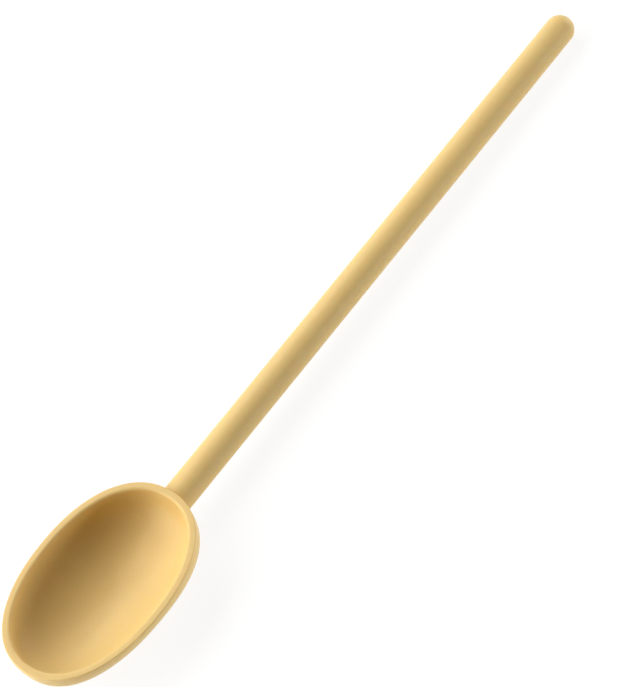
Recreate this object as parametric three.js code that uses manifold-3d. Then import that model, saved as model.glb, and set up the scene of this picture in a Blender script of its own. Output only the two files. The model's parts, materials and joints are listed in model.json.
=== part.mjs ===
// A cooking spoon in two moulded pieces: an oval bowl with a tang on its heel, and a round handle that is
// pushed over the tang and butts against the outside of the bowl.
// Units are millimetres. The spoon lies on its back as on a table: +X runs from the bowl's tip to the
// handle's end, +Z is up, and the origin is on the table under the middle of the spoon.
import * as THREE from "three";
import { mergeVertices } from "three/addons/utils/BufferGeometryUtils.js";
import Module from "manifold-3d";

// Bowl, measured from its flat rim
const BOWL_LENGTH = 74;
const BOWL_WIDTH = 49;
const BOWL_DEPTH = 18.2;
const RIM_WIDTH = 2.6;
// How far the sides of the rim run straight down before the walls curve in
const RIM_HEIGHT = 1.1;
const RIM_OUTER_ROUND = 0.3;
const RIM_INNER_ROUND = 0.9;
const FLOOR_THICKNESS = 2.4;
// How far the deepest point lies from the middle of the bowl, towards the handle
const DEEPEST_POINT_SHIFT = 3;

// Handle: its length counts from the heel of the rim, and its axis runs this far below the rim
const HANDLE_LENGTH = 226;
const HANDLE_DIAMETER = 10.5;
const HANDLE_DROP = 6.5;

// Joint: a tang on the bowl in a socket in the handle, with lengths that count from the heel of the rim
const SOCKET_WALL = 2.3;
const SOCKET_MOUTH_WALL = 1.5;
const TANG_LENGTH = 42;
const TANG_ROOT_LENGTH = 5;
const TANG_TAPER_LENGTH = 4;
const TANG_TIP_CHAMFER = 0.8;
const TANG_CLEARANCE = 0.15;
const SOCKET_END_CLEARANCE = 1.5;
const MOUTH_CLEARANCE = 0.3;

// Fullness of the curves: 2 is an ellipse, and more is squarer in plan or stays upright for longer in depth
const RIM_OUTLINE_FULLNESS = 2.2;
const FLOOR_OUTLINE_FULLNESS = 2.57;
const SIDE_FULLNESS = 1.75;
const HEEL_FULLNESS = 4;
const TIP_FULLNESS = 2.7;
// How much wider the outline is towards the heel than towards the tip, as a share of the width
const RIM_HEEL_WIDENING = 0.02;
const FLOOR_HEEL_WIDENING = 0.12;

// Fineness of the faceted surfaces
const OUTLINE_STEPS = 72;
const WALL_STEPS = 12;
const ROUND_STEPS = 3;
const TURN_STEPS = 48;
const END_STEPS = 8;

// Search for the angle at which the spoon lies
const STEEPEST_REST_ANGLE = Math.PI / 4;
const REST_HALVINGS = 40;

const COMPOSITE_COLOUR = 0xd9b782;
const COMPOSITE_ROUGHNESS = 0.5;

const wasm = await Module();
wasm.setup();

const heelX = BOWL_LENGTH / 2;
const handleEndX = heelX + HANDLE_LENGTH;
const handleRadius = HANDLE_DIAMETER / 2;

// A closed mesh as a solid that can be joined and cut
function solidOf(geometry) {
  const bare = new THREE.BufferGeometry();
  bare.setAttribute("position", geometry.getAttribute("position"));
  bare.setIndex(geometry.getIndex());
  const merged = mergeVertices(bare);
  const vertProperties = merged.getAttribute("position").array;
  const triVerts = new Uint32Array(merged.getIndex().array);
  return new wasm.Manifold(new wasm.Mesh({ numProp: 3, vertProperties, triVerts }));
}

function geometryOf(solid) {
  const mesh = solid.getMesh();
  const geometry = new THREE.BufferGeometry();
  geometry.setAttribute("position", new THREE.BufferAttribute(mesh.vertProperties, 3));
  geometry.setIndex(new THREE.BufferAttribute(mesh.triVerts, 1));
  geometry.computeVertexNormals();
  return geometry;
}

// What is left of a wall's reach at a share of its depth: upright at the rim and level at the floor
function remainingReach(depthShare, fullness) {
  return Math.sqrt(1 - depthShare ** fullness);
}

// A level outline of the bowl, drawn in from the rim's outer edge by an inset, at a height over the rim
function rimRing(inset, z) {
  return {
    heel: heelX - inset,
    tip: inset - heelX,
    side: BOWL_WIDTH / 2 - inset,
    fullness: RIM_OUTLINE_FULLNESS,
    widening: RIM_HEEL_WIDENING,
    z,
  };
}

// The level outlines of a wall that leaves the given ring straight down and closes at the floor: the lower
// they lie, the squarer they are, and the wider towards the heel
function wallRings(top, floorZ) {
  return Array.from({ length: WALL_STEPS }, (_, step) => {
    const depthShare = Math.sin((step / WALL_STEPS) * (Math.PI / 2));
    const heelReach = (top.heel - DEEPEST_POINT_SHIFT) * remainingReach(depthShare, HEEL_FULLNESS);
    const tipReach = (top.tip - DEEPEST_POINT_SHIFT) * remainingReach(depthShare, TIP_FULLNESS);
    return {
      heel: DEEPEST_POINT_SHIFT + heelReach,
      tip: DEEPEST_POINT_SHIFT + tipReach,
      side: top.side * remainingReach(depthShare, SIDE_FULLNESS),
      fullness: THREE.MathUtils.lerp(RIM_OUTLINE_FULLNESS, FLOOR_OUTLINE_FULLNESS, depthShare),
      widening: THREE.MathUtils.lerp(RIM_HEEL_WIDENING, FLOOR_HEEL_WIDENING, depthShare),
      z: top.z + (floorZ - top.z) * depthShare,
    };
  });
}

// A quarter round at the rim: rings from its lower end on the wall to its upper end on the flat
function edgeRings(wallInset, radius, inward) {
  return Array.from({ length: ROUND_STEPS + 1 }, (_, step) => {
    const angle = (step / ROUND_STEPS) * (Math.PI / 2);
    return rimRing(wallInset + inward * radius * (1 - Math.cos(angle)), radius * (Math.sin(angle) - 1));
  });
}

// The points of one ring: an oval fuller than an ellipse and a little wider towards the heel
function ringPoints(ring) {
  return Array.from({ length: OUTLINE_STEPS }, (_, step) => {
    const angle = (step / OUTLINE_STEPS) * 2 * Math.PI;
    const power = 2 / ring.fullness;
    const along = Math.sign(Math.cos(angle)) * Math.abs(Math.cos(angle)) ** power;
    const across = Math.sign(Math.sin(angle)) * Math.abs(Math.sin(angle)) ** power;
    return new THREE.Vector3(
      (ring.heel + ring.tip) / 2 + (along * (ring.heel - ring.tip)) / 2,
      across * ring.side * (1 + ring.widening * along),
      ring.z,
    );
  });
}

// A closed skin over rings that go up the outside, between a bottom point and a last point
function skin(bottom, rings, last) {
  const points = [bottom, ...rings.flatMap(ringPoints), last];
  const index = [];
  const at = (ring, step) => 1 + ring * OUTLINE_STEPS + (step % OUTLINE_STEPS);
  const lastRing = rings.length - 1;
  for (let step = 0; step < OUTLINE_STEPS; step++) {
    index.push(0, at(0, step + 1), at(0, step));
    for (let ring = 0; ring < lastRing; ring++) {
      index.push(at(ring, step), at(ring, step + 1), at(ring + 1, step + 1));
      index.push(at(ring, step), at(ring + 1, step + 1), at(ring + 1, step));
    }
    index.push(at(lastRing, step), at(lastRing, step + 1), points.length - 1);
  }
  return new THREE.BufferGeometry().setFromPoints(points).setIndex(index);
}

function deepestPoint(z) {
  return new THREE.Vector3(DEEPEST_POINT_SHIFT, 0, z);
}

// The bowl's wall: up the outside, over the rim and down the inside
function shellSolid() {
  const outerEdge = edgeRings(0, RIM_OUTER_ROUND, 1);
  const innerEdge = edgeRings(RIM_WIDTH, RIM_INNER_ROUND, -1);
  const innerFloorZ = FLOOR_THICKNESS - BOWL_DEPTH;
  const outerWall = wallRings(rimRing(0, -RIM_HEIGHT), -BOWL_DEPTH);
  const innerWall = wallRings(rimRing(RIM_WIDTH, -RIM_HEIGHT), innerFloorZ);
  const rings = [...outerWall.reverse(), ...outerEdge, ...innerEdge.reverse(), ...innerWall];
  return solidOf(skin(deepestPoint(-BOWL_DEPTH), rings, deepestPoint(innerFloorZ)));
}

// Everything inside a surface that runs parallel to the bowl's outside, carried straight up past the handle
function insideSolid(inset, floorInset) {
  const top = rimRing(inset, -RIM_HEIGHT);
  const floorZ = floorInset - BOWL_DEPTH;
  const lidZ = HANDLE_DIAMETER;
  const rings = [...wallRings(top, floorZ).reverse(), rimRing(inset, lidZ)];
  return solidOf(skin(deepestPoint(floorZ), rings, deepestPoint(lidZ)));
}

// A solid turned about the handle's axis, from its distances along the spoon and its radii
function turnedSolid(profile) {
  const points = profile.map(([x, radius]) => new THREE.Vector2(radius, x));
  const geometry = new THREE.LatheGeometry(points, TURN_STEPS);
  geometry.rotateZ(-Math.PI / 2);
  geometry.translate(0, 0, -HANDLE_DROP);
  return solidOf(geometry);
}

// The tang as a blank that starts inside the bowl, or its socket when it is given a clearance
function tangSolid(clearance, endClearance) {
  const radius = handleRadius - SOCKET_WALL - TANG_CLEARANCE + clearance;
  const rootRadius = handleRadius - SOCKET_MOUTH_WALL - TANG_CLEARANCE + clearance;
  const rootEndX = heelX + TANG_ROOT_LENGTH;
  const tipX = heelX + TANG_LENGTH + endClearance;
  return turnedSolid([
    [DEEPEST_POINT_SHIFT, 0],
    [DEEPEST_POINT_SHIFT, rootRadius],
    [rootEndX, rootRadius],
    [rootEndX + TANG_TAPER_LENGTH, radius],
    [tipX - TANG_TIP_CHAMFER, radius],
    [tipX, radius - TANG_TIP_CHAMFER],
    [tipX, 0],
  ]);
}

// The rod as a blank that starts inside the bowl and has a half-round end
function rodSolid() {
  const profile = [
    [DEEPEST_POINT_SHIFT, 0],
    [DEEPEST_POINT_SHIFT, handleRadius],
  ];
  for (let step = 0; step < END_STEPS; step++) {
    const angle = (step / END_STEPS) * (Math.PI / 2);
    const x = handleEndX - handleRadius * (1 - Math.sin(angle));
    profile.push([x, handleRadius * Math.cos(angle)]);
  }
  profile.push([handleEndX, 0]);
  return turnedSolid(profile);
}

function bowlGeometry() {
  const wallMiddle = insideSolid(RIM_WIDTH / 2, FLOOR_THICKNESS / 2);
  const tang = tangSolid(0, 0).subtract(wallMiddle);
  return geometryOf(shellSolid().add(tang));
}

function handleGeometry() {
  const bowlRoom = insideSolid(-MOUTH_CLEARANCE, -MOUTH_CLEARANCE);
  const socket = tangSolid(TANG_CLEARANCE, SOCKET_END_CLEARANCE);
  return geometryOf(rodSolid().subtract(bowlRoom).subtract(socket));
}

// The height of a piece's lowest point when the spoon is tipped, handle end down, by an angle
function lowestHeight(geometry, angle) {
  const position = geometry.getAttribute("position");
  let lowest = Infinity;
  for (let i = 0; i < position.count; i++) {
    lowest = Math.min(lowest, position.getZ(i) * Math.cos(angle) - position.getX(i) * Math.sin(angle));
  }
  return lowest;
}

// The angle at which the back of the bowl and the end of the handle both touch the table
function restAngle(bowlShape, handleShape) {
  let low = -STEEPEST_REST_ANGLE;
  let high = STEEPEST_REST_ANGLE;
  for (let step = 0; step < REST_HALVINGS; step++) {
    const middle = (low + high) / 2;
    if (lowestHeight(handleShape, middle) > lowestHeight(bowlShape, middle)) low = middle;
    else high = middle;
  }
  return (low + high) / 2;
}

function compositeMesh(name, geometry) {
  const material = new THREE.MeshStandardMaterial({
    color: COMPOSITE_COLOUR,
    roughness: COMPOSITE_ROUGHNESS,
    metalness: 0,
  });
  const mesh = new THREE.Mesh(geometry, material);
  mesh.name = name;
  return mesh;
}

const bowl = compositeMesh("bowl", bowlGeometry());
const handle = compositeMesh("handle", handleGeometry());

const spoon = new THREE.Group();
spoon.add(bowl, handle);
spoon.rotation.y = restAngle(bowl.geometry, handle.geometry);
const box = new THREE.Box3().setFromObject(spoon, true);
spoon.position.set(-(box.min.x + box.max.x) / 2, 0, -box.min.z);

const part = new THREE.Group();
part.add(spoon);

export default part;
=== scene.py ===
"""A cooking spoon of moulded composite: a deep oval bowl whose tang is bonded into a straight round handle.

All sizes are in metres. The spoon is drawn in its own frame, with the origin in the middle of the bowl on
the plane of the rim and +X towards the handle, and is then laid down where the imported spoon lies.
"""

import json
import math

import bmesh
import bpy
from mathutils import Matrix, Quaternion, Vector


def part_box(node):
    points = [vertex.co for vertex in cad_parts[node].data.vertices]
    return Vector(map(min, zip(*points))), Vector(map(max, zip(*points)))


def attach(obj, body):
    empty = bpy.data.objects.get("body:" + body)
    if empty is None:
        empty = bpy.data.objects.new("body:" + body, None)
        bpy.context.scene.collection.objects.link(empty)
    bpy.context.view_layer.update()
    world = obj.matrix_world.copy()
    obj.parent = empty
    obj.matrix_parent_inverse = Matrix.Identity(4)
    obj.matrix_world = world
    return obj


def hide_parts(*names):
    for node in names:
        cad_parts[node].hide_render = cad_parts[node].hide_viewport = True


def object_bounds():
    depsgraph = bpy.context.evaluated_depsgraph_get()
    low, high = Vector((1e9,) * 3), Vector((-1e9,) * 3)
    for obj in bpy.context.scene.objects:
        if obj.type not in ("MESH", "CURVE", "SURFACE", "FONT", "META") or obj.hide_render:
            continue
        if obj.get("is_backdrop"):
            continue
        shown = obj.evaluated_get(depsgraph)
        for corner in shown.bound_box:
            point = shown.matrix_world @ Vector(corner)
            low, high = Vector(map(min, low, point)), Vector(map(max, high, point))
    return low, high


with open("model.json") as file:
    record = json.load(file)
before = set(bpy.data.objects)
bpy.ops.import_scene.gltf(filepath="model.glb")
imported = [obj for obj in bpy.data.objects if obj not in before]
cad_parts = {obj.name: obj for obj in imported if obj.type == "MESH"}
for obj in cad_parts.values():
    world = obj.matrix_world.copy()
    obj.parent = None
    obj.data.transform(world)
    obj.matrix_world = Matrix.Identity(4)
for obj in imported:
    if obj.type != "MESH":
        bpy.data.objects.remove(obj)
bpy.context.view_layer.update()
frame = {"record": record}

bl_info = {
    "name": "Cooking Spoon",
    "version": (1, 0, 0),
    "blender": (4, 5, 0),
    "location": "3D View > Sidebar > Spoon",
    "description": "Builds a moulded composite cooking spoon and the stage that it lies on",
    "category": "Add Mesh",
}

MM = 0.001
BODY = "root"

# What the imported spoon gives: the boxes of its two pieces and the place and direction of its flat rim
BOWL_LOW, BOWL_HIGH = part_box("bowl")
HANDLE_LOW, HANDLE_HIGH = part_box("handle")
RIM_FACE = next(mount for mount in frame["record"]["mounts"] if mount["name"] == "rim_face")

# Fineness of the meshes
BOWL_TURN_STEPS = 192
WALL_STEPS = 56
EDGE_STEPS = 8
ROD_TURN_STEPS = 96
ROD_RUN_STEPS = 24
END_STEPS = 20
OUTLINE_TRIES = 4
SHARP_ANGLE = math.radians(40)


def linear(colour):
    """The linear red, green and blue of an sRGB hex colour."""
    shares = [int(colour[start : start + 2], 16) / 255 for start in (0, 2, 4)]
    return tuple(s / 12.92 if s <= 0.04045 else ((s + 0.055) / 1.055) ** 2.4 for s in shares)


class BowlSizes(bpy.types.PropertyGroup):
    """Sizes of the bowl, measured from its flat rim."""

    length: bpy.props.FloatProperty(
        name="Length", description="Over the rim, from tip to heel", default=74 * MM, unit="LENGTH"
    )
    width: bpy.props.FloatProperty(
        name="Width",
        description="Over the rim, across the spoon",
        default=BOWL_HIGH.y - BOWL_LOW.y,
        unit="LENGTH",
    )
    depth: bpy.props.FloatProperty(
        name="Depth",
        description="From the rim to the outside of the floor",
        default=18.2 * MM,
        unit="LENGTH",
    )
    rim_width: bpy.props.FloatProperty(
        name="Rim width", description="Thickness of the wall at the rim", default=2.6 * MM, unit="LENGTH"
    )
    rim_height: bpy.props.FloatProperty(
        name="Rim height",
        description="How far the rim's sides run straight down before the walls curve in",
        default=1.1 * MM,
        unit="LENGTH",
    )
    floor_thickness: bpy.props.FloatProperty(
        name="Floor thickness", description="Thickness at the deepest point", default=2.4 * MM, unit="LENGTH"
    )
    outer_round: bpy.props.FloatProperty(
        name="Outer round", description="Radius of the rim's outer edge", default=0.3 * MM, unit="LENGTH"
    )
    inner_round: bpy.props.FloatProperty(
        name="Inner round", description="Radius of the rim's inner edge", default=0.9 * MM, unit="LENGTH"
    )
    deepest_shift: bpy.props.FloatProperty(
        name="Deepest shift",
        description="How far the deepest point lies from the middle, towards the handle",
        default=3 * MM,
        unit="LENGTH",
    )
    rim_fullness: bpy.props.FloatProperty(
        name="Rim fullness",
        description="Of the rim's outline: 2 is an ellipse, and more is squarer",
        default=2.2,
    )
    floor_fullness: bpy.props.FloatProperty(
        name="Floor fullness", description="Of the outline at the floor, as at the rim", default=2.57
    )
    side_fullness: bpy.props.FloatProperty(
        name="Side fullness", description="How long the sides stay upright", default=1.75
    )
    heel_fullness: bpy.props.FloatProperty(
        name="Heel fullness", description="How long the wall at the handle stays upright", default=4
    )
    tip_fullness: bpy.props.FloatProperty(
        name="Tip fullness", description="How long the wall at the tip stays upright", default=2.7
    )
    rim_widening: bpy.props.FloatProperty(
        name="Rim widening",
        description="How much wider the rim's outline is towards the handle",
        default=0.02,
        subtype="FACTOR",
    )
    floor_widening: bpy.props.FloatProperty(
        name="Floor widening",
        description="How much wider the outline at the floor is towards the handle",
        default=0.12,
        subtype="FACTOR",
    )


class HandleSizes(bpy.types.PropertyGroup):
    """Sizes of the handle, measured from the heel of the rim."""

    length: bpy.props.FloatProperty(
        name="Length", description="From the heel of the rim to the end", default=226 * MM, unit="LENGTH"
    )
    diameter: bpy.props.FloatProperty(
        name="Diameter",
        description="Of the round rod",
        default=HANDLE_HIGH.y - HANDLE_LOW.y,
        unit="LENGTH",
    )
    drop: bpy.props.FloatProperty(
        name="Drop", description="How far the axis runs below the rim", default=6.5 * MM, unit="LENGTH"
    )
    mouth_round: bpy.props.FloatProperty(
        name="Mouth round",
        description="Radius of the edge that meets the bowl",
        default=0.3 * MM,
        unit="LENGTH",
    )


class JointSizes(bpy.types.PropertyGroup):
    """Sizes of the tang on the bowl, the socket that it is bonded in, and the bond line round its root."""

    tang_length: bpy.props.FloatProperty(
        name="Tang length", description="From the heel of the rim", default=42 * MM, unit="LENGTH"
    )
    root_length: bpy.props.FloatProperty(
        name="Root length", description="Of the thicker root of the tang", default=5 * MM, unit="LENGTH"
    )
    taper_length: bpy.props.FloatProperty(
        name="Taper length", description="From the root to the slim stretch", default=4 * MM, unit="LENGTH"
    )
    tip_chamfer: bpy.props.FloatProperty(
        name="Tip chamfer", description="At the end of the tang", default=0.8 * MM, unit="LENGTH"
    )
    socket_wall: bpy.props.FloatProperty(
        name="Socket wall", description="Wall of the handle round the tang", default=2.3 * MM, unit="LENGTH"
    )
    mouth_wall: bpy.props.FloatProperty(
        name="Mouth wall", description="Wall of the handle round the root", default=1.5 * MM, unit="LENGTH"
    )
    clearance: bpy.props.FloatProperty(
        name="Clearance", description="Between the tang and its socket", default=0.15 * MM, unit="LENGTH"
    )
    end_clearance: bpy.props.FloatProperty(
        name="End clearance", description="Past the end of the tang", default=1.5 * MM, unit="LENGTH"
    )
    mouth_gap: bpy.props.FloatProperty(
        name="Mouth gap",
        description="Between the handle's mouth and the bowl",
        default=0.3 * MM,
        unit="LENGTH",
    )
    bond_recess: bpy.props.FloatProperty(
        name="Bond recess",
        description="How far the bond lies below the handle",
        default=0.35 * MM,
        unit="LENGTH",
    )
    bond_play: bpy.props.FloatProperty(
        name="Bond play",
        description="Between the bond and the faces it fills",
        default=0.02 * MM,
        unit="LENGTH",
    )
    bond_hollow: bpy.props.FloatProperty(
        name="Bond hollow", description="How far the bond's face sinks in", default=0.08 * MM, unit="LENGTH"
    )


class Finish(bpy.types.PropertyGroup):
    """Colours and surfaces of the spoon."""

    composite: bpy.props.FloatVectorProperty(
        name="Composite",
        description="Colour of the moulded pieces",
        subtype="COLOR",
        min=0,
        max=1,
        default=linear("DDBD7A"),
    )
    fibre: bpy.props.FloatVectorProperty(
        name="Fibre",
        description="Colour of the glass fibre that shows at the surface",
        subtype="COLOR",
        min=0,
        max=1,
        default=linear("E0CFA5"),
    )
    roughness: bpy.props.FloatProperty(
        name="Roughness", description="Of the moulded surface", default=0.45, min=0, max=1, subtype="FACTOR"
    )
    bond: bpy.props.FloatVectorProperty(
        name="Bond",
        description="Colour of the cured resin in the joint",
        subtype="COLOR",
        min=0,
        max=1,
        default=linear("A88247"),
    )


class StageSettings(bpy.types.PropertyGroup):
    """The floor, the light and the camera."""

    aim: bpy.props.FloatVectorProperty(
        name="Aim",
        description="The point on the floor that the camera looks at",
        subtype="TRANSLATION",
        default=(-1.41 * MM, 1.37 * MM, 0),
    )
    azimuth: bpy.props.FloatProperty(
        name="Azimuth", description="Of the camera", default=math.radians(-36.06), subtype="ANGLE"
    )
    elevation: bpy.props.FloatProperty(
        name="Elevation", description="Of the camera", default=math.radians(55.99), subtype="ANGLE"
    )
    roll: bpy.props.FloatProperty(
        name="Roll",
        description="Of the camera about its view",
        default=math.radians(-20.52),
        subtype="ANGLE",
    )
    distance: bpy.props.FloatProperty(
        name="Distance", description="From the aim to the camera", default=802.5 * MM, unit="LENGTH"
    )
    lens: bpy.props.FloatProperty(
        name="Lens", description="Focal length of the camera", default=125.98, unit="CAMERA"
    )
    brightness: bpy.props.FloatProperty(
        name="Brightness", description="Of all softboxes together", default=1, min=0
    )
    ambient: bpy.props.FloatProperty(
        name="Ambient", description="Light of the white room round the stage", default=0.04, min=0
    )
    floor_side: bpy.props.FloatProperty(
        name="Floor side", description="Side of the square floor", default=6, unit="LENGTH"
    )
    floor_glow: bpy.props.FloatProperty(
        name="Floor glow", description="Light that comes up through the floor", default=0.55, min=0
    )
    floor: bpy.props.FloatVectorProperty(
        name="Floor",
        description="Colour of the floor",
        subtype="COLOR",
        min=0,
        max=1,
        default=linear("CBCBCB"),
    )


class SpoonSettings(bpy.types.PropertyGroup):
    """Everything about the spoon that can be set."""

    bowl: bpy.props.PointerProperty(type=BowlSizes, name="Bowl", description="Sizes of the bowl")
    handle: bpy.props.PointerProperty(type=HandleSizes, name="Handle", description="Sizes of the handle")
    joint: bpy.props.PointerProperty(type=JointSizes, name="Joint", description="Sizes of the joint")
    finish: bpy.props.PointerProperty(type=Finish, name="Finish", description="Colours and surfaces")
    stage: bpy.props.PointerProperty(type=StageSettings, name="Stage", description="Floor, light and camera")


def signed_power(value, power):
    """A power of a number that keeps its sign."""
    return math.copysign(abs(value) ** power, value)


def remaining_reach(depth_share, fullness):
    """What is left of a wall's reach at a share of its depth: upright at the rim and level at the floor."""
    return math.sqrt(max(0, 1 - depth_share**fullness))


def outline_shape(bowl, depth_share):
    """How full the outline is at a share of the depth, and how much wider it is towards the heel."""
    fullness = bowl.rim_fullness + (bowl.floor_fullness - bowl.rim_fullness) * depth_share
    widening = bowl.rim_widening + (bowl.floor_widening - bowl.rim_widening) * depth_share
    return fullness, widening


def level_ring(shape, heel, tip, side, height):
    """The points of one level of the bowl: an oval fuller than an ellipse and wider at the heel."""
    fullness, widening = shape
    power = 2 / fullness
    points = []
    for step in range(BOWL_TURN_STEPS):
        turn = 2 * math.pi * step / BOWL_TURN_STEPS
        along = signed_power(math.cos(turn), power)
        across = signed_power(math.sin(turn), power)
        x = (heel + tip) / 2 + along * (heel - tip) / 2
        y = across * side * (1 + widening * along)
        points.append(Vector((x, y, height)))
    return points


def rim_ring(bowl, inset, height):
    """A level ring drawn in from the outer edge of the rim."""
    reach = bowl.length / 2 - inset
    return level_ring(outline_shape(bowl, 0), reach, -reach, bowl.width / 2 - inset, height)


class Wall:
    """A surface drawn in from the outside of the bowl, upright at its top edge and closed at its floor."""

    def __init__(self, bowl, inset, top, floor):
        self.bowl = bowl
        self.inset = inset
        self.top = top
        self.floor = floor

    def level(self, depth_share):
        """How far the wall reaches to the heel, the tip and the side at a share of its depth."""
        bowl = self.bowl
        reach = bowl.length / 2 - self.inset
        heel = (reach - bowl.deepest_shift) * remaining_reach(depth_share, bowl.heel_fullness)
        tip = (reach + bowl.deepest_shift) * remaining_reach(depth_share, bowl.tip_fullness)
        side = (bowl.width / 2 - self.inset) * remaining_reach(depth_share, bowl.side_fullness)
        return bowl.deepest_shift + heel, bowl.deepest_shift - tip, side

    def rings(self):
        """Level rings from the top edge to just above the deepest point, closer where the wall is steep."""
        made = []
        for step in range(WALL_STEPS):
            depth_share = math.sin(math.pi / 2 * step / WALL_STEPS)
            height = self.top + (self.floor - self.top) * depth_share
            shape = outline_shape(self.bowl, depth_share)
            made.append(level_ring(shape, *self.level(depth_share), height))
        return made

    def deepest_point(self):
        """Where the wall closes."""
        return Vector((self.bowl.deepest_shift, 0, self.floor))

    def heel_x(self, y, z):
        """How far along the spoon the wall stands at its heel, at a place across and a height."""
        depth_share = max(0, (z - self.top) / (self.floor - self.top))
        heel, tip, side = self.level(depth_share)
        fullness, widening = outline_shape(self.bowl, depth_share)
        along = 1
        for _ in range(OUTLINE_TRIES):
            across = abs(y) / (side * (1 + widening * along))
            along = (1 - across**fullness) ** (1 / fullness)
        return (heel + tip) / 2 + along * (heel - tip) / 2


def outer_wall(bowl, inset=0):
    """The outside of the bowl, or a surface inside it by an inset or outside it by a negative one."""
    return Wall(bowl, inset, -bowl.rim_height, inset - bowl.depth)


def rod_ring(handle, radius, place):
    """A ring round the handle's axis, whose points lie along the spoon as their places across and up say."""
    points = []
    for step in range(ROD_TURN_STEPS):
        turn = 2 * math.pi * step / ROD_TURN_STEPS
        y = radius * math.cos(turn)
        z = radius * math.sin(turn) - handle.drop
        points.append(Vector((place(y, z), y, z)))
    return points


def turned_rings(handle, profile):
    """Rings round the handle's axis from their distances along the spoon and their radii."""
    return [rod_ring(handle, radius, lambda y, z, x=x: x) for x, radius in profile]


def axis_point(handle, x):
    """A point on the handle's axis."""
    return Vector((x, 0, -handle.drop))


def skin(name, rings, ends=None):
    """A closed mesh over rings of equally many points, between two end points or back to the first ring."""
    shape = bmesh.new()
    loops = [[shape.verts.new(point) for point in ring] for ring in rings]
    pairs = list(zip(loops, loops[1:]))
    tips = [shape.verts.new(point) for point in ends or ()]
    if not tips:
        pairs.append((loops[-1], loops[0]))
    count = len(loops[0])
    for step in range(count):
        after = (step + 1) % count
        for here, there in pairs:
            shape.faces.new((here[step], here[after], there[after], there[step]))
        for tip, loop in zip(tips, (loops[0], loops[-1])):
            shape.faces.new((tip, loop[step], loop[after]))
    bmesh.ops.recalc_face_normals(shape, faces=shape.faces)
    mesh = bpy.data.meshes.new(name)
    shape.to_mesh(mesh)
    shape.free()
    return mesh


def union(first, second):
    """One closed mesh made of two that overlap."""
    makers = [bpy.data.objects.new(mesh.name, mesh) for mesh in (first, second)]
    for maker in makers:
        bpy.context.scene.collection.objects.link(maker)
    join = makers[0].modifiers.new("join", "BOOLEAN")
    join.operation = "UNION"
    join.solver = "EXACT"
    join.object = makers[1]
    made = makers[0].evaluated_get(bpy.context.evaluated_depsgraph_get())
    mesh = bpy.data.meshes.new_from_object(made)
    for maker in makers:
        bpy.data.objects.remove(maker)
    return mesh


def shell_mesh(bowl):
    """The wall of the bowl: up the outside, over the flat rim with its rounded edges and down the inside."""
    outside = outer_wall(bowl)
    inside = Wall(bowl, bowl.rim_width, -bowl.rim_height, bowl.floor_thickness - bowl.depth)
    edges = []
    for step in range(EDGE_STEPS + 1):
        angle = math.pi / 2 * step / EDGE_STEPS
        inset = bowl.outer_round * (1 - math.cos(angle))
        edges.append(rim_ring(bowl, inset, bowl.outer_round * (math.sin(angle) - 1)))
    for step in range(EDGE_STEPS + 1):
        angle = math.pi / 2 * step / EDGE_STEPS
        inset = bowl.rim_width - bowl.inner_round * (1 - math.sin(angle))
        edges.append(rim_ring(bowl, inset, bowl.inner_round * (math.cos(angle) - 1)))
    rings = outside.rings()[::-1] + edges + inside.rings()
    return skin("shell", rings, (outside.deepest_point(), inside.deepest_point()))


def tang_profile(bowl, handle, joint, clearance=0, end_clearance=0):
    """Distances along the spoon and radii of the tang, or of its socket when a clearance is given."""
    heel = bowl.length / 2
    slim = handle.diameter / 2 - joint.socket_wall - joint.clearance + clearance
    root = handle.diameter / 2 - joint.mouth_wall - joint.clearance + clearance
    root_end = heel + joint.root_length
    tip = heel + joint.tang_length + end_clearance
    return [
        (root_end, root),
        (root_end + joint.taper_length, slim),
        (tip - joint.tip_chamfer, slim),
        (tip, slim - joint.tip_chamfer),
    ]


def tang_mesh(bowl, handle, joint):
    """The tang: a stepped pin that grows out of the middle of the bowl's wall."""
    profile = tang_profile(bowl, handle, joint)
    wall_middle = outer_wall(bowl, bowl.rim_width / 2)
    root_ring = rod_ring(handle, profile[0][1], wall_middle.heel_x)
    start = axis_point(handle, wall_middle.heel_x(0, -handle.drop))
    end = axis_point(handle, profile[-1][0])
    return skin("tang", [root_ring, *turned_rings(handle, profile)], (start, end))


def handle_mesh(bowl, handle, joint):
    """The handle: out of the blind socket, round its mouth at the bowl and along the rod to its end."""
    radius = handle.diameter / 2
    end = bowl.length / 2 + handle.length
    run_end = end - radius
    mouth = outer_wall(bowl, -joint.mouth_gap)
    socket = tang_profile(bowl, handle, joint, joint.clearance, joint.end_clearance)

    rings = turned_rings(handle, socket[::-1])
    rings.append(rod_ring(handle, socket[0][1], mouth.heel_x))
    for step in range(EDGE_STEPS + 1):
        angle = math.pi / 2 * step / EDGE_STEPS
        back = handle.mouth_round * (1 - math.cos(angle))
        edge_radius = radius - handle.mouth_round * (1 - math.sin(angle))
        rings.append(rod_ring(handle, edge_radius, lambda y, z, back=back: mouth.heel_x(y, z) + back))
    for step in range(1, ROD_RUN_STEPS):
        share = step / ROD_RUN_STEPS

        def along(y, z, share=share):
            near = mouth.heel_x(y, z) + handle.mouth_round
            return near + (run_end - near) * share

        rings.append(rod_ring(handle, radius, along))
    for step in range(END_STEPS):
        angle = math.pi / 2 * step / END_STEPS
        rings += turned_rings(handle, [(run_end + radius * math.sin(angle), radius * math.cos(angle))])
    return skin("handle_moulding", rings, (axis_point(handle, socket[-1][0]), axis_point(handle, end)))


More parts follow.
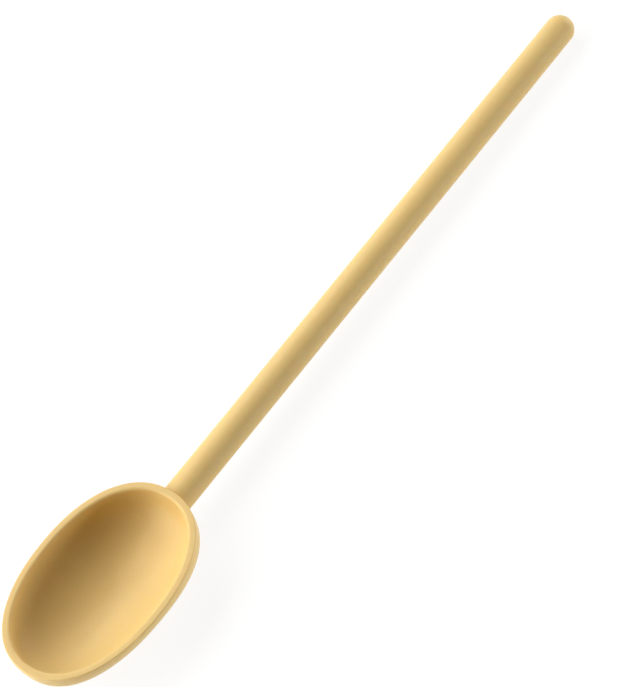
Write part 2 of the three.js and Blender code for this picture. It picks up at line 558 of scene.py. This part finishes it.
def bond_mesh(bowl, handle, joint):
    """The bond line: a thin collar of resin between the bowl and the mouth, sunk in where it shows."""
    outer = handle.diameter / 2 - joint.bond_recess
    inner = handle.diameter / 2 - joint.mouth_wall
    near = joint.bond_play
    far = joint.mouth_gap - joint.bond_play
    section = [
        (near, outer),
        ((near + far) / 2, outer - joint.bond_hollow),
        (far, outer),
        (far, inner),
        (near, inner),
    ]
    rings = [rod_ring(handle, radius, outer_wall(bowl, -off).heel_x) for off, radius in section]
    return skin("bond_line", rings)


def lying_frame(bowl):
    """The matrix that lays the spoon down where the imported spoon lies, found from its rim and its tip."""
    point = Vector(RIM_FACE["pos_m"])
    normal = Vector(RIM_FACE["axis"])
    tilt = math.atan2(normal.x, normal.z)
    x = BOWL_LOW.x + bowl.length / 2 * math.cos(tilt) + bowl.rim_height * math.sin(tilt)
    z = point.z + (point.x - x) * math.tan(tilt)
    return Matrix.Translation((x, 0, z)) @ Matrix.Rotation(tilt, 4, "Y")


def lay_piece(name, mesh, material, bowl):
    """Adds a mesh as a piece of the spoon, laid down and riding with it."""
    mesh.transform(lying_frame(bowl))
    mesh.materials.clear()
    mesh.materials.append(material)
    mesh.shade_smooth()
    mesh.set_sharp_from_angle(angle=SHARP_ANGLE)
    mesh.name = name
    piece = bpy.data.objects.new(name, mesh)
    bpy.context.scene.collection.objects.link(piece)
    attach(piece, BODY)
    return piece


def add_node(tree, kind, settings=None, inputs=None):
    """Adds a node with its settings, and sets or links its inputs, which are named by their identifiers."""
    node = tree.nodes.new(kind)
    for name, value in (settings or {}).items():
        setattr(node, name, value)
    sockets = {socket.identifier: socket for socket in node.inputs}
    for name, value in (inputs or {}).items():
        if isinstance(value, bpy.types.NodeSocket):
            tree.links.new(value, sockets[name])
        else:
            sockets[name].default_value = value
    return node


def new_material(name):
    """An empty material and its node tree."""
    material = bpy.data.materials.new(name)
    material.use_nodes = True
    material.node_tree.nodes.clear()
    return material, material.node_tree


def rgba(colour, brightness=1):
    """A colour with its alpha, made lighter or darker."""
    return (*(brightness * share for share in colour), 1)


def repeats(size_mm):
    """The scale of a pattern whose features are this many millimetres across."""
    return 1 / (size_mm * MM)


WHITE = (1, 1, 1, 1)

# How many finer layers a pattern's noise has
SOFT_DETAIL = 1
FINE_DETAIL = 2
CLOUDY_DETAIL = 3

# Polyamide with short glass fibre, injection moulded in a spark-eroded mould and tumbled. The eye sees one
# warm tan with a soft satin gloss, very slightly cloudy where the melt flowed, with pale hair-fine fibres
# just under the skin and a fine even grain from the mould.
FLOW_MM = 26
FLOW_CONTRAST = 0.045
GLOSS_PATCH_MM = 9
GLOSS_CONTRAST = 0.05
# The part of the noise that the patches of gloss are spread over
GLOSS_PATCH_LOW = 0.3
GLOSS_PATCH_HIGH = 0.7
# Real fibres are about 0.01 by 0.3 mm and real grain is about 0.05 mm: both are drawn coarser, to show at all
FIBRE_WIDTH_MM = 0.35
FIBRE_STRETCH = 4
FIBRE_SHARE = 0.2
# Where in the noise a fibre begins to show and where it shows fully
FIBRE_FAINT = 0.5
FIBRE_CLEAR = 0.75
GRAIN_MM = 0.4
GRAIN_HEIGHT = 0.02 * MM
GRAIN_STRENGTH = 0.22
RIPPLE_MM = 7
RIPPLE_HEIGHT = 0.05 * MM
RIPPLE_STRENGTH = 0.1
POLYAMIDE_IOR = 1.53
# Below the usual 0.5, because tumbling dulls the skin
POLYAMIDE_SPECULAR = 0.22
# How deep light goes into the skin before it comes out again: red deepest
SCATTER_DEPTH = 1.2 * MM
SCATTER_SHARES = (1, 0.55, 0.3)
SCATTER_WEIGHT = 0.3


def glass_filled_polyamide(finish):
    """The one composite that the bowl and the handle are moulded from."""
    name = "moulded_glass_filled_polyamide"
    if name in bpy.data.materials:
        return bpy.data.materials[name]
    material, tree = new_material(name)
    place = add_node(tree, "ShaderNodeTexCoord").outputs["Object"]
    flow = add_node(
        tree,
        "ShaderNodeTexNoise",
        inputs={"Vector": place, "Scale": repeats(FLOW_MM), "Detail": CLOUDY_DETAIL},
    )
    clouded = add_node(
        tree,
        "ShaderNodeMix",
        {"data_type": "RGBA"},
        {
            "Factor_Float": flow.outputs["Fac"],
            "A_Color": rgba(finish.composite, 1 - FLOW_CONTRAST),
            "B_Color": rgba(finish.composite, 1 + FLOW_CONTRAST),
        },
    )
    drawn_out = add_node(
        tree, "ShaderNodeMapping", inputs={"Vector": place, "Scale": (1 / FIBRE_STRETCH, 1, 1)}
    )
    fibres = add_node(
        tree,
        "ShaderNodeTexNoise",
        inputs={
            "Vector": drawn_out.outputs["Vector"],
            "Scale": repeats(FIBRE_WIDTH_MM),
            "Detail": FINE_DETAIL,
        },
    )
    fibre_mask = add_node(
        tree,
        "ShaderNodeMapRange",
        inputs={
            "Value": fibres.outputs["Fac"],
            "From Min": FIBRE_FAINT,
            "From Max": FIBRE_CLEAR,
            "To Max": FIBRE_SHARE,
        },
    )
    speckled = add_node(
        tree,
        "ShaderNodeMix",
        {"data_type": "RGBA"},
        {
            "Factor_Float": fibre_mask.outputs["Result"],
            "A_Color": clouded.outputs["Result"],
            "B_Color": rgba(finish.fibre),
        },
    )
    patches = add_node(
        tree,
        "ShaderNodeTexNoise",
        inputs={"Vector": place, "Scale": repeats(GLOSS_PATCH_MM), "Detail": FINE_DETAIL},
    )
    gloss = add_node(
        tree,
        "ShaderNodeMapRange",
        inputs={
            "Value": patches.outputs["Fac"],
            "From Min": GLOSS_PATCH_LOW,
            "From Max": GLOSS_PATCH_HIGH,
            "To Min": finish.roughness - GLOSS_CONTRAST,
            "To Max": finish.roughness + GLOSS_CONTRAST,
        },
    )
    ripple = add_node(
        tree,
        "ShaderNodeTexNoise",
        inputs={"Vector": place, "Scale": repeats(RIPPLE_MM), "Detail": SOFT_DETAIL},
    )
    rippled = add_node(
        tree,
        "ShaderNodeBump",
        inputs={"Strength": RIPPLE_STRENGTH, "Distance": RIPPLE_HEIGHT, "Height": ripple.outputs["Fac"]},
    )
    grain = add_node(
        tree,
        "ShaderNodeTexNoise",
        inputs={"Vector": place, "Scale": repeats(GRAIN_MM), "Detail": FINE_DETAIL},
    )
    grained = add_node(
        tree,
        "ShaderNodeBump",
        inputs={
            "Strength": GRAIN_STRENGTH,
            "Distance": GRAIN_HEIGHT,
            "Height": grain.outputs["Fac"],
            "Normal": rippled.outputs["Normal"],
        },
    )
    skin_shader = add_node(
        tree,
        "ShaderNodeBsdfPrincipled",
        inputs={
            "Base Color": speckled.outputs["Result"],
            "Roughness": gloss.outputs["Result"],
            "IOR": POLYAMIDE_IOR,
            "Specular IOR Level": POLYAMIDE_SPECULAR,
            "Subsurface Weight": SCATTER_WEIGHT,
            "Subsurface Radius": SCATTER_SHARES,
            "Subsurface Scale": SCATTER_DEPTH,
            "Normal": grained.outputs["Normal"],
        },
    )
    add_node(tree, "ShaderNodeOutputMaterial", inputs={"Surface": skin_shader.outputs["BSDF"]})
    return material


# Epoxy resin, squeezed out of the joint and wiped off. The eye sees a thin amber line, glossier than the
# moulded skin, a little darker where it is thick.
RESIN_POOL_MM = 3
RESIN_CONTRAST = 0.15
RESIN_IOR = 1.55
RESIN_ROUGHNESS_LOW = 0.25
RESIN_ROUGHNESS_HIGH = 0.4


def cured_epoxy(finish):
    """The resin that bonds the tang in its socket."""
    material, tree = new_material("cured_epoxy_resin")
    place = add_node(tree, "ShaderNodeTexCoord").outputs["Object"]
    pools = add_node(
        tree,
        "ShaderNodeTexNoise",
        inputs={"Vector": place, "Scale": repeats(RESIN_POOL_MM), "Detail": FINE_DETAIL},
    )
    amber = add_node(
        tree,
        "ShaderNodeMix",
        {"data_type": "RGBA"},
        {
            "Factor_Float": pools.outputs["Fac"],
            "A_Color": rgba(finish.bond, 1 - RESIN_CONTRAST),
            "B_Color": rgba(finish.bond, 1 + RESIN_CONTRAST),
        },
    )
    gloss = add_node(
        tree,
        "ShaderNodeMapRange",
        inputs={
            "Value": pools.outputs["Fac"],
            "To Min": RESIN_ROUGHNESS_LOW,
            "To Max": RESIN_ROUGHNESS_HIGH,
        },
    )
    resin = add_node(
        tree,
        "ShaderNodeBsdfPrincipled",
        inputs={
            "Base Color": amber.outputs["Result"],
            "Roughness": gloss.outputs["Result"],
            "IOR": RESIN_IOR,
        },
    )
    add_node(tree, "ShaderNodeOutputMaterial", inputs={"Surface": resin.outputs["BSDF"]})
    return material


def seen_rays(tree):
    """1 where a surface is seen, mirrored or looked at through glass, and 0 where it only gives light."""
    rays = add_node(tree, "ShaderNodeLightPath").outputs
    seen = add_node(
        tree,
        "ShaderNodeMath",
        {"operation": "MAXIMUM"},
        {"Value": rays["Is Camera Ray"], "Value_001": rays["Is Glossy Ray"]},
    )
    shown = add_node(
        tree,
        "ShaderNodeMath",
        {"operation": "MAXIMUM"},
        {"Value": seen.outputs["Value"], "Value_001": rays["Is Transmission Ray"]},
    )
    return shown.outputs["Value"]


# Uncoated white card. The eye sees an even matt white with no gloss and the faintest cloudiness.
CARD_CLOUD_MM = 40
CARD_CONTRAST = 0.01
CARD_ROUGHNESS = 0.95
# How much of the card is plain white where it is seen, which leaves a faint shadow
CARD_WHITE = 0.75


def white_card(stage):
    """The matt card that the spoon lies on."""
    material, tree = new_material("uncoated_white_card")
    place = add_node(tree, "ShaderNodeTexCoord").outputs["Object"]
    clouds = add_node(
        tree,
        "ShaderNodeTexNoise",
        inputs={"Vector": place, "Scale": repeats(CARD_CLOUD_MM), "Detail": FINE_DETAIL},
    )
    tone = add_node(
        tree,
        "ShaderNodeMix",
        {"data_type": "RGBA"},
        {
            "Factor_Float": clouds.outputs["Fac"],
            "A_Color": rgba(stage.floor, 1 - CARD_CONTRAST),
            "B_Color": rgba(stage.floor),
        },
    )
    card = add_node(
        tree,
        "ShaderNodeBsdfPrincipled",
        inputs={
            "Base Color": tone.outputs["Result"],
            "Roughness": CARD_ROUGHNESS,
            "Specular IOR Level": 0,
            "Emission Color": WHITE,
            "Emission Strength": stage.floor_glow,
        },
    )
    white = add_node(tree, "ShaderNodeEmission", inputs={"Color": WHITE, "Strength": 1})
    share = add_node(
        tree,
        "ShaderNodeMath",
        {"operation": "MULTIPLY"},
        {"Value": seen_rays(tree), "Value_001": CARD_WHITE},
    )
    surface = add_node(
        tree,
        "ShaderNodeMixShader",
        inputs={
            "Fac": share.outputs["Value"],
            "Shader": card.outputs["BSDF"],
            "Shader_001": white.outputs["Emission"],
        },
    )
    add_node(tree, "ShaderNodeOutputMaterial", inputs={"Surface": surface.outputs["Shader"]})
    return material


def direction(azimuth, elevation):
    """The direction from the spoon to a camera or lamp. Azimuth 0 is in front, towards -Y."""
    level = math.cos(elevation)
    return Vector((math.sin(azimuth) * level, -math.cos(azimuth) * level, math.sin(elevation)))


def lay_floor(stage):
    """The floor under the spoon."""
    shape = bmesh.new()
    bmesh.ops.create_grid(shape, x_segments=1, y_segments=1, size=stage.floor_side / 2)
    mesh = bpy.data.meshes.new("floor")
    shape.to_mesh(mesh)
    shape.free()
    mesh.materials.append(white_card(stage))
    floor = bpy.data.objects.new("floor", mesh)
    floor.location.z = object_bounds()[0].z
    bpy.context.scene.collection.objects.link(floor)
    floor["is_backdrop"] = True


# Softboxes: azimuth and elevation in degrees, width and height, and how bright each makes a white card that
# faces it, where 1 is full white. The wide one gives less than that, because its ends are further away.
SOFTBOX_DISTANCE = 1.5
SOFTBOXES = {
    "back_softbox": (192, 48, 2.8, 1.0, 1.59),
    "left_softbox": (240, 18, 1.0, 0.9, 0.61),
    "right_softbox": (80, 14, 1.0, 0.72, 0.42),
    "front_strip": (30, 5, 1.4, 0.25, 0.32),
}


def hang_softboxes(stage):
    """Large soft lights: a wide one behind the spoon, weaker ones at its ends and a low strip in front."""
    for name, (azimuth, elevation, width, height, level) in SOFTBOXES.items():
        towards = direction(math.radians(azimuth), math.radians(elevation))
        lamp = bpy.data.lights.new(name, "AREA")
        lamp.shape = "RECTANGLE"
        lamp.size = width
        lamp.size_y = height
        # The power at which a lamp lights a white card at this distance to full white, times its level
        lamp.energy = stage.brightness * level * (math.pi * SOFTBOX_DISTANCE) ** 2
        softbox = bpy.data.objects.new(name, lamp)
        softbox.location = towards * SOFTBOX_DISTANCE
        softbox.rotation_mode = "QUATERNION"
        softbox.rotation_quaternion = towards.to_track_quat("Z", "Y")
        bpy.context.scene.collection.objects.link(softbox)


def whiten_room(stage):
    """An even white room: plain white where it is seen or mirrored, and dimmer as a light."""
    world = bpy.data.worlds.new("white_room")
    world.use_nodes = True
    tree = world.node_tree
    tree.nodes.clear()
    strength = add_node(
        tree,
        "ShaderNodeMapRange",
        inputs={"Value": seen_rays(tree), "To Min": stage.ambient, "To Max": 1},
    )
    room = add_node(
        tree,
        "ShaderNodeBackground",
        inputs={"Color": WHITE, "Strength": strength.outputs["Result"]},
    )
    add_node(tree, "ShaderNodeOutputWorld", inputs={"Surface": room.outputs["Background"]})
    bpy.context.scene.world = world


def place_camera(stage):
    """A long lens that looks down on the spoon with its bowl at the lower left."""
    back = direction(stage.azimuth, stage.elevation)
    lens = bpy.data.cameras.new("camera")
    lens.lens = stage.lens
    camera = bpy.data.objects.new("camera", lens)
    camera.location = Vector(stage.aim) + back * stage.distance
    camera.rotation_mode = "QUATERNION"
    camera.rotation_quaternion = back.to_track_quat("Z", "Y") @ Quaternion((0, 0, 1), stage.roll)
    bpy.context.scene.collection.objects.link(camera)
    bpy.context.scene.camera = camera


class SPOON_OT_bowl(bpy.types.Operator):
    """Moulds the bowl with its tang"""

    bl_idname = "cooking_spoon.bowl"
    bl_label = "Bowl"

    def execute(self, context):
        spoon = context.scene.cooking_spoon
        mesh = union(shell_mesh(spoon.bowl), tang_mesh(spoon.bowl, spoon.handle, spoon.joint))
        material = glass_filled_polyamide(spoon.finish)
        piece = lay_piece("bowl_moulding", mesh, material, spoon.bowl)
        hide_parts("bowl")
        return {"FINISHED"}


class SPOON_OT_handle(bpy.types.Operator):
    """Moulds the handle with its socket"""

    bl_idname = "cooking_spoon.handle"
    bl_label = "Handle"

    def execute(self, context):
        spoon = context.scene.cooking_spoon
        mesh = handle_mesh(spoon.bowl, spoon.handle, spoon.joint)
        material = glass_filled_polyamide(spoon.finish)
        piece = lay_piece("handle_moulding", mesh, material, spoon.bowl)
        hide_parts("handle")
        return {"FINISHED"}


class SPOON_OT_bond_line(bpy.types.Operator):
    """Fills the joint between the bowl and the handle with resin"""

    bl_idname = "cooking_spoon.bond_line"
    bl_label = "Bond line"

    def execute(self, context):
        spoon = context.scene.cooking_spoon
        mesh = bond_mesh(spoon.bowl, spoon.handle, spoon.joint)
        lay_piece("bond_line", mesh, cured_epoxy(spoon.finish), spoon.bowl)
        return {"FINISHED"}


class SPOON_OT_stage(bpy.types.Operator):
    """Sets up the floor, the light and the camera"""

    bl_idname = "cooking_spoon.stage"
    bl_label = "Stage"

    def execute(self, context):
        stage = context.scene.cooking_spoon.stage
        lay_floor(stage)
        hang_softboxes(stage)
        whiten_room(stage)
        place_camera(stage)
        context.scene.view_settings.view_transform = "Standard"
        return {"FINISHED"}


class SPOON_PT_pieces(bpy.types.Panel):
    """Lists the steps that build the spoon"""

    bl_idname = "SPOON_PT_pieces"
    bl_label = "Cooking Spoon"
    bl_space_type = "VIEW_3D"
    bl_region_type = "UI"
    bl_category = "Spoon"

    def draw(self, context):
        for step in BUILD_STEPS:
            self.layout.operator(step.bl_idname)


BUILD_STEPS = (SPOON_OT_bowl, SPOON_OT_handle, SPOON_OT_bond_line, SPOON_OT_stage)
SETTINGS = (BowlSizes, HandleSizes, JointSizes, Finish, StageSettings, SpoonSettings)
CLASSES = (*SETTINGS, *BUILD_STEPS, SPOON_PT_pieces)


def register():
    for cls in CLASSES:
        bpy.utils.register_class(cls)
    bpy.types.Scene.cooking_spoon = bpy.props.PointerProperty(type=SpoonSettings)


def unregister():
    del bpy.types.Scene.cooking_spoon
    for cls in reversed(CLASSES):
        bpy.utils.unregister_class(cls)


def main():
    register()
    bpy.ops.cooking_spoon.bowl()
    bpy.ops.cooking_spoon.handle()
    bpy.ops.cooking_spoon.bond_line()
    bpy.ops.cooking_spoon.stage()


if __name__ == "__main__":
    main()
